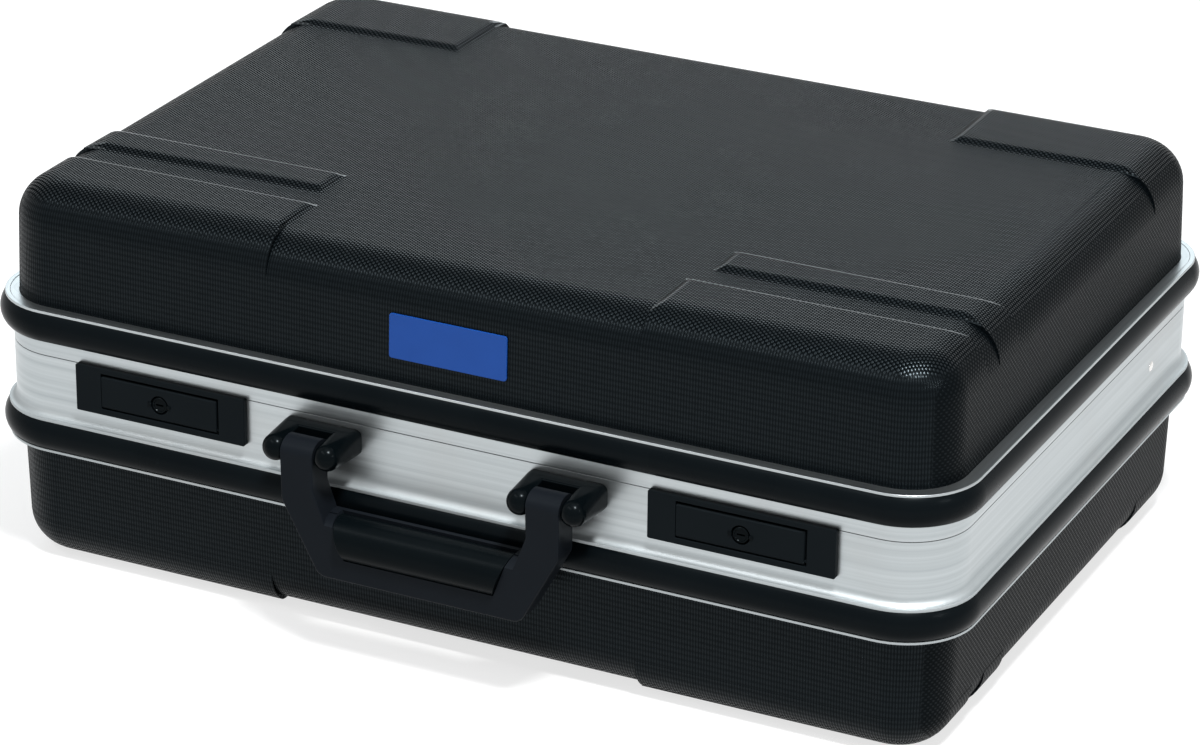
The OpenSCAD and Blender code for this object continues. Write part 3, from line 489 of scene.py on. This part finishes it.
# %% [markdown]
# ## A map that follows the strip
#
# The frames, edging and walls all run round the same rounded rectangle. `way_round` measures how far
# round it a point lies, from the middle of the front, plus to the right and minus to the left. The
# second number of the map grows across the strip. On the far side the two counts meet, so a face that
# lies across the meeting has one full turn added to its left-hand corners.

# %% Way round the case
def way_round(x, y, radius):
    """Distance along the rounded rectangle from the middle of the front."""
    side, x = (1 if x >= 0 else -1), abs(x)
    if y <= -run_y:
        way = x if x <= run_x else run_x + radius * atan2(x - run_x, -run_y - y)
    elif y <= run_y:
        way = run_x + radius * pi / 2 + run_y + y
    else:
        bend = pi / 2 if x <= run_x else atan2(y - run_y, x - run_x)
        way = run_x + radius * pi / 2 + 2 * run_y + radius * bend + (run_x - x if x < run_x else 0)
    return side * way


def reach(x, y):
    """Distance out from the run rectangle: 0 inside it."""
    return hypot(max(abs(x) - run_x, 0), max(abs(y) - run_y, 0))


def map_strip(bm, radius, across):
    """UV map 'strip': way round the case, and the given measure across it."""
    layer = bm.loops.layers.uv.new("strip")
    whole = 4 * (run_x + run_y) + 2 * pi * radius
    for face in bm.faces:
        places = [(c, way_round(c.vert.co.x, c.vert.co.y - mid_y, radius)) for c in face.loops]
        split = max(w for _, w in places) - min(w for _, w in places) > whole / 2
        for c, way in places:
            if split and way < 0:
                way += whole
            point = c.vert.co
            c[layer].uv = (way, across(reach(point.x, point.y - mid_y), point.z))


print("once round the lips:", round(4 * (run_x + run_y) + 2 * pi * corner, 3), "m")

# %% [markdown]
# ## The two shells
#
# Lid and base are the largest surfaces. Their feet and pads are raised a little more than 2 mm on
# sloped sides, and the press leaves the edges of the slopes slightly round. The hollow ones at the foot
# of a slope are rounded first, and then the ones on top, whose rear and left runs get a painted highlight.
# The grain's second number follows the rounding from the flat face down the wall, so that the rows keep
# their spacing there.

# %% Shells
shell_edge, draft = 20 * mm, radians(1.7)
wall_in, wall_lean = 6.7 * mm, 1.1 * mm           # the walls stand in from the lips and lean in further
skin_radius = corner - 7.5 * mm                   # of the corners, halfway up the walls
pad_bottom, foot_top = 170 * mm, 16 * mm          # pads and ribs lie above the one, feet below the other
highlight_rear, highlight_left = 0.8, 0.3                   # strength of the painted highlight on edges that face the back and the left


def down_wall(rim_z, top_z):
    """Distance along the shell's skin, from the flat face's edge to the rim."""
    upward = 1 if top_z > rim_z else -1
    start = corner - wall_in - shell_edge - wall_lean

    def measure(out, z):
        drop = (top_z - z) * upward
        if out <= start:
            return out
        if drop < shell_edge:
            return start + shell_edge * atan2(out - start, max(shell_edge - drop, 1e-6))
        return start + shell_edge * pi / 2 + drop - shell_edge

    return measure


def on_foot(middle):
    """True on the pads, the ribs and the feet."""
    return middle.z > pad_bottom or middle.z < foot_top


for name, rim_z, top_z in (("base_shell", 60.2 * mm, 2.2 * mm), ("lid_shell", 130.4 * mm, 183.9 * mm)):
    bm = merged(name)
    soften(bm, 1.1 * mm, segments=4, over=22, under=60, where=on_foot, hollow=True)
    bevelled = soften(bm, 1.2 * mm, segments=4, over=22, under=60, where=on_foot, hollow=False)
    # painted highlight: only rim corners that face the back or the left, towards the lamp behind, are marked
    rim_highlight = bm.verts.layers.float.new("rim_highlight")
    bm.normal_update()
    for v in {v for face in bevelled for v in face.verts}:
        rearward, leftward = v.normal.y > 0.05, v.normal.x < -0.05
        if all(face in bevelled for face in v.link_faces) and (rearward or leftward):
            v[rim_highlight] = highlight_rear if rearward else highlight_left
    brim = soften(bm, 0.3 * mm, over=60, where=lambda middle: abs(middle.z - top_z) > 45 * mm)
    print(name, len(bevelled), "faces on the rubbed edges,", len(brim), "on the rim")
    map_strip(bm, skin_radius, down_wall(rim_z, top_z))
    finish_piece(bm, name + "_skin", body_of[name], shell_black, "abs_shell", name)

# %% [markdown]
# ## Frames and edging
#
# The aluminium lips are thin, so their bevel is narrow. The lid frame's lower rim comes down by 0.35 mm,
# which makes the joint above the base frame finer. The second number of the map is height minus reach:
# it changes across upright bands and across level lips alike, and the drawn lines never smear.

# %% Frames and edging
band_in = 3.5 * mm                                # from the lips in to the band
for name in ("base_frame", "lid_frame"):
    bm = merged(name)
    if name == "lid_frame":
        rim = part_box(name)[0].z
        shifted(bm, (0, 0, -1), 0.35 * mm, lambda p: p.z < rim + 0.02 * mm)
    print(name, len(soften(bm, 0.18 * mm)), "faces on its softened edges")
    map_strip(bm, corner - band_in, lambda out, z: z - out)
    finish_piece(bm, name + "_profile", body_of[name], frame_metal, "frame_aluminium", name)

for name in ("base_edging", "lid_edging"):
    bm = merged(name)
    soften(bm, 0.25 * mm)
    map_strip(bm, corner, lambda out, z: z)
    finish_piece(bm, name + "_strip", body_of[name], edging_black, "edging", name)

# %% [markdown]
# ## The blue plate
#
# A thin enamelled plate lies on the lid's front wall. It starts as one square face that is stretched to
# size, gets its corners rounded while it is still flat, and is then given its thickness. It leans back
# with the wall.

# %% Blue plate
plate_low, plate_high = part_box("badge_plate")
half_wide = (plate_high.x - plate_low.x) / 2
half_tall = (plate_high.z - plate_low.z) / 2 / cos(draft)
plate_thick, plate_corner = 1.0 * mm, 1.4 * mm
bm = bmesh.new()
bmesh.ops.create_grid(bm, x_segments=1, y_segments=1, size=1)
bmesh.ops.scale(bm, vec=(half_wide - 0.3 * mm, half_tall - 0.1 * mm, 1), verts=bm.verts)
bmesh.ops.bevel(bm, geom=bm.verts[:], offset=plate_corner, affect="VERTICES",
                segments=5, profile=0.5, material=-1)
pushed(bm, bm.faces[:], plate_thick)
bmesh.ops.recalc_face_normals(bm, faces=bm.faces)
soften(bm, 0.3 * mm, over=60)
centred = Matrix.Translation((0, 0, -plate_thick / 2))
lean = Matrix.Rotation(pi / 2 - draft, 4, "X")
onto_wall = Matrix.Translation((plate_low + plate_high) / 2)
bmesh.ops.transform(bm, matrix=onto_wall @ lean @ centred, verts=bm.verts)
finish_piece(bm, "badge_plate_enamel", "lid", badge_blue, "badge", "badge_plate")
print("plate", round(2 * half_wide / mm, 1), "x", round(2 * half_tall / mm, 1), "mm")

# %% [markdown]
# ## The latches
#
# Each latch is a plate with a tilting lever in it and a lock in the lever. Plate and lever keep their
# CAD shape with softened edges. The plate's lip reaches up over the joint between the frames, and the
# lever leaves a wider gap above it and at its right end, which shows as a dark line.

# %% Latch plates and levers
band_front = -150.0 * mm                          # front face of the band
lip_rise, top_rise = 0.9 * mm, 0.5 * mm           # of the plate's upper lip, and of its top edge besides
end_gap = 0.9 * mm                                # taken off the lever's right end


def round_end(middle):
    """The upright front edge at the right end of the right lever."""
    upright = low.z + 2 * mm < middle.z < high.z
    return upright and middle.x > high.x - 1.0 * mm and middle.y < low.y + near


for side, _ in sides:
    low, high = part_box(f"latch_lever_{side}")
    plate_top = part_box(f"latch_plate_{side}")[1].z
    bm = merged(f"latch_plate_{side}")
    in_front = band_front + 0.1 * mm
    shifted(bm, (0, 0, 1), lip_rise, lambda p: p.y < in_front and p.z > high.z - 0.1 * mm)
    shifted(bm, (0, 0, 1), top_rise, lambda p: p.y < in_front and p.z > plate_top + 0.1 * mm)
    soften(bm, 0.3 * mm, segments=3)
    finish_piece(bm, f"latch_plate_{side}_face", "base", latch_black, "latch_plastic", f"latch_plate_{side}")

    bm = merged(f"latch_lever_{side}")
    shifted(bm, (-1, 0, 0), end_gap, lambda p: p.y < band_front and p.x > high.x - near)
    if side == "right":
        soften(bm, 1.9 * mm, segments=5, over=60, where=round_end)
    soften(bm, 0.2 * mm, segments=2)
    finish_piece(bm, f"latch_lever_{side}_face", f"lever_{side}", latch_black, "latch_plastic",
                 f"latch_lever_{side}")

# %% [markdown]
# ## Turned parts and blocks
#
# Round parts are turned as on a lathe: half an outline is spun once round an axis. A closed outline
# gives a ring, and one that starts and ends on the axis gives a solid. Small blocks are cubes with
# rounded edges. `put_in` adds such a shape to the piece that it belongs to.

# %% Turning, blocks and joining
def turned(outline, at, axis, steps):
    """Spin an outline of (radius, distance) points round a level axis through a point."""
    bm = bmesh.new()
    points = [bm.verts.new(at + Vector((0, 0, r)) + axis * d) for r, d in outline]
    lines = [bm.edges.new(pair) for pair in zip(points, points[1:])]
    bmesh.ops.spin(bm, geom=points + lines, cent=at, axis=axis, dvec=(0, 0, 0),
                   angle=2 * pi, steps=steps, use_merge=True, use_duplicate=False)
    bmesh.ops.remove_doubles(bm, verts=bm.verts, dist=0.001 * mm)
    bmesh.ops.recalc_face_normals(bm, faces=bm.faces)
    return bm


def block(size, middle, rounding, segments=3):
    """A cube of a given size with rounded edges."""
    bm = bmesh.new()
    bmesh.ops.create_cube(bm, size=1)
    bmesh.ops.scale(bm, vec=size, verts=bm.verts)
    bmesh.ops.bevel(bm, geom=bm.edges[:], offset=rounding, affect="EDGES",
                    segments=segments, profile=0.5, material=-1)
    bmesh.ops.translate(bm, vec=middle, verts=bm.verts)
    return bm


def put_in(bm, part):
    """Add one shape to another."""
    held = bpy.data.meshes.new("held")
    part.to_mesh(held)
    part.free()
    bm.from_mesh(held)
    bpy.data.meshes.remove(held)


print("lathe ready")

# %% [markdown]
# ## The locks
#
# A lock shows a ring, a sunken core with a key slot, and two small lugs beside the ring. The core starts
# as a disc. Four cuts mark out the slot in it, the disc is given its thickness, and the slot's face
# is pushed in.

# %% Locks
latch_x, lock_z, lock_face = 144.2 * mm, 95.95 * mm, -152.95 * mm
core_radius, core_sunk, lock_deep = 2.75 * mm, 0.35 * mm, 2.8 * mm
slot_half_tall, slot_half_wide, slot_deep = 0.42 * mm, 1.9 * mm, 1.6 * mm
ring_radius, ring_bevel = 3.8 * mm, 0.3 * mm
lug_size, lug_out = (1.9 * mm, 1.2 * mm, 1.9 * mm), 5.0 * mm
ring = [(core_radius, ring_bevel), (2.95 * mm, 0), (3.5 * mm, 0), (ring_radius, ring_bevel),
        (ring_radius, lock_deep), (core_radius, lock_deep), (core_radius, ring_bevel)]
for side, sign in sides:
    bm = bmesh.new()
    bmesh.ops.create_circle(bm, cap_ends=True, segments=40, radius=core_radius)
    for cut in (Vector((0, slot_half_tall, 0)), Vector((slot_half_wide, 0, 0))):
        for way in (-1, 1):
            bmesh.ops.bisect_plane(bm, geom=bm.verts[:] + bm.edges[:] + bm.faces[:],
                                   plane_co=way * cut, plane_no=way * cut)
    pushed(bm, bm.faces[:], lock_deep)
    bmesh.ops.recalc_face_normals(bm, faces=bm.faces)
    key = [f for f in bm.faces if f.normal.z > 0.9 and f.calc_center_median().xy.length < 0.1 * mm]
    pushed(bm, key, -slot_deep)
    bmesh.ops.delete(bm, geom=key, context="FACES_ONLY")
    upright = Matrix.Translation((0, lock_deep + core_sunk, 0)) @ Matrix.Rotation(pi / 2, 4, "X")
    bmesh.ops.transform(bm, matrix=upright, verts=bm.verts)
    put_in(bm, turned(ring, Vector((0, 0, 0)), axis=Vector((0, 1, 0)), steps=48))
    for way in (-1, 1):
        put_in(bm, block(lug_size, (way * lug_out, 0.1 * mm, 0), 0.35 * mm))
    bmesh.ops.translate(bm, vec=(sign * latch_x, lock_face, lock_z), verts=bm.verts)
    finish_piece(bm, f"lock_{side}_plug", f"lock_{side}", mount_black, "latch_plastic",
                 f"lock_cylinder_{side}")
print("latches and locks")

# %% [markdown]
# ## The handle
#
# The handle is a moulded frame with a softer half-round grip let into its bar. The outer edges are
# rounded by about a millimetre, and the edges of the pocket round the grip stay crisp, so that the seam
# reads as a fine dark line. A condition on where an edge lies picks the two kinds apart. The eyes, which
# turn on the pins, are pressed a little flatter on top.

# %% Handle frame and grip
pivot_z, outline_top, eye_squash = 98.1 * mm, 96 * mm, 0.8
pocket_end, pocket_low = 45 * mm, 49 * mm         # how far the grip's pocket reaches out and down
bm = merged("handle_frame", join=0.06 * mm, flat=1.5)
low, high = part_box("handle_frame")


def outer(middle):
    """Edges of the outline, not those of the pocket."""
    on_front, on_back = middle.y < low.y + near, middle.y > high.y - near
    past_pocket = abs(middle.x) > pocket_end or middle.z < pocket_low
    return middle.z < outline_top and (on_back or (on_front and past_pocket))


print("handle:", len(soften(bm, 0.9 * mm, segments=4, over=50, where=outer)), "faces on the outline")
bmesh.ops.remove_doubles(bm, verts=bm.verts, dist=0.01 * mm)
for v in bm.verts:
    if v.co.z > pivot_z and abs(v.co.x) > 50 * mm:
        v.co.z = pivot_z + (v.co.z - pivot_z) * eye_squash
finish_piece(bm, "handle_frame_moulding", "handle", handle_black, "handle_plastic", "handle_frame")

bm = merged("handle_grip", join=0.05 * mm, flat=1)
soften(bm, 0.35 * mm, segments=3, over=50)
finish_piece(bm, "handle_grip_insert", "handle", grip_black, "grip_plastic", "handle_grip")

# %% [markdown]
# ## The handle mounts
#
# Each mount is two ears that end in balls, joined by a bridge against the band. An ear is round in front
# and square behind. Such a shape is the hull of its two ends: a tight skin stretched over a ball and
# a rounded foot. A plane then cuts it flat on the side that faces the handle's arm, and a
# block makes the bridge, level with the ears' tops.

# %% Mounts
mount_x, ear_gap, ear_radius, ear_apart = 60.6 * mm, 8.5 * mm, 6.2 * mm, 12.9 * mm
ball_y, bridge_y, foot_deep = -170.1 * mm, -157.6 * mm, 12 * mm
for side, sign in sides:
    bm = bmesh.new()
    for way in (-1, 1):
        ear = bmesh.new()
        bmesh.ops.create_uvsphere(ear, u_segments=40, v_segments=24, radius=ear_radius)
        bmesh.ops.translate(ear, vec=(way * ear_apart, ball_y, pivot_z), verts=ear.verts)
        put_in(ear, block((2 * ear_radius, foot_deep, 2 * ear_radius),
                          (way * ear_apart, band_front, pivot_z), 3.2 * mm, segments=5))
        bmesh.ops.delete(ear, geom=ear.faces[:] + ear.edges[:], context="EDGES_FACES")
        bmesh.ops.convex_hull(ear, input=ear.verts)
        bmesh.ops.delete(ear, geom=[v for v in ear.verts if not v.link_faces], context="VERTS")
        bmesh.ops.dissolve_limit(ear, angle_limit=radians(1), verts=ear.verts, edges=ear.edges)
        cut = bmesh.ops.bisect_plane(ear, geom=ear.verts[:] + ear.edges[:] + ear.faces[:],
                                     plane_co=(way * ear_gap, 0, 0), plane_no=(-way, 0, 0), clear_outer=True)
        rim = [e for e in cut["geom_cut"] if isinstance(e, bmesh.types.BMEdge)]
        bmesh.ops.edgeloop_fill(ear, edges=rim)
        bmesh.ops.recalc_face_normals(ear, faces=ear.faces)
        soften(ear, 0.45 * mm, segments=3, over=40, where=lambda m: abs(abs(m.x) - ear_gap) < 0.01 * mm)
        put_in(bm, ear)
    put_in(bm, block((2 * ear_apart, band_front - bridge_y, 2 * ear_radius - 0.1 * mm),
                     (0, (band_front + bridge_y) / 2, pivot_z), 0.9 * mm, segments=4))
    bmesh.ops.translate(bm, vec=(sign * mount_x, 0, 0), verts=bm.verts)
    finish_piece(bm, f"handle_mount_{side}_ears", "base", mount_black, "mount_plastic",
                 f"handle_mount_{side}")
print("mounts with ears", 2 * ear_radius / mm, "mm thick")

# %% [markdown]
# ## Hinges, stays and small metal parts
#
# These are plain metal parts whose CAD shape is right. The ones that show get softened edges, and the
# rest keep their node and take a finish. The rivet that carries a stay shows as a bright dot on the
# side band, so its head is turned with a dome. Further in it has a collar, the neck that the stay turns
# on, and a flat end. The lever pins are black, so that they don't glint in the gaps beside the levers.

# %% Hinges and stays
for node in frame["nodes"]:
    if node.startswith(("hinge_base_leaf", "hinge_lid_leaf", "stay_arm", "latch_hook", "latch_keeper")):
        bm = merged(node)
        soften(bm, 0.12 * mm, over=50)
        finish_piece(bm, node + "_metal", body_of[node], zinc_steel, "steel", node)

head_radius, head_thick = 2.6 * mm, 0.8 * mm
shank_radius, collar_radius, collar_from = 1.5 * mm, 3.0 * mm, 7.8 * mm
for side, sign in sides:
    low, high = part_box(f"stay_rivet_{side}")
    outer_x = high.x if sign > 0 else low.x
    length = high.x - low.x
    arm_from, arm_to = length - 2.6 * mm, length - 0.8 * mm
    dome = [(head_radius * sin(radians(a)), -sign * head_thick * (1 - cos(radians(a))))
            for a in range(0, 91, 15)]
    shank = [(radius, -sign * depth) for radius, depth in (
        (shank_radius, head_thick), (shank_radius, collar_from), (collar_radius, collar_from),
        (collar_radius, arm_from), (shank_radius, arm_from), (shank_radius, arm_to),
        (collar_radius, arm_to), (collar_radius, length), (0, length))]
    head = Vector((outer_x, (low.y + high.y) / 2, (low.z + high.z) / 2))
    bm = turned(dome + shank, head, axis=Vector((1, 0, 0)), steps=28)
    finish_piece(bm, f"stay_rivet_{side}_turned", "base", rivet_steel, "rivet", f"stay_rivet_{side}")

# %% Finishes for the nodes that stay
kept = 0
for node, holder in frame["nodes"].items():
    if holder.hide_render:
        continue
    if any(word in node for word in ("rivet", "stud", "screw")):
        finish = rivet_steel
    elif "joiner" in node:
        finish = frame_metal
    elif "lever_pin" in node:
        finish = latch_black
    else:
        finish = zinc_steel
    holder.data.materials.clear()
    holder.data.materials.append(finish)
    kept += 1
print(kept, "CAD nodes keep their mesh")

# %% [markdown]
# ## View transform
#
# The picture is shown with Blender's Standard view transform.

# %% View transform
bpy.context.scene.view_settings.view_transform = "Standard"
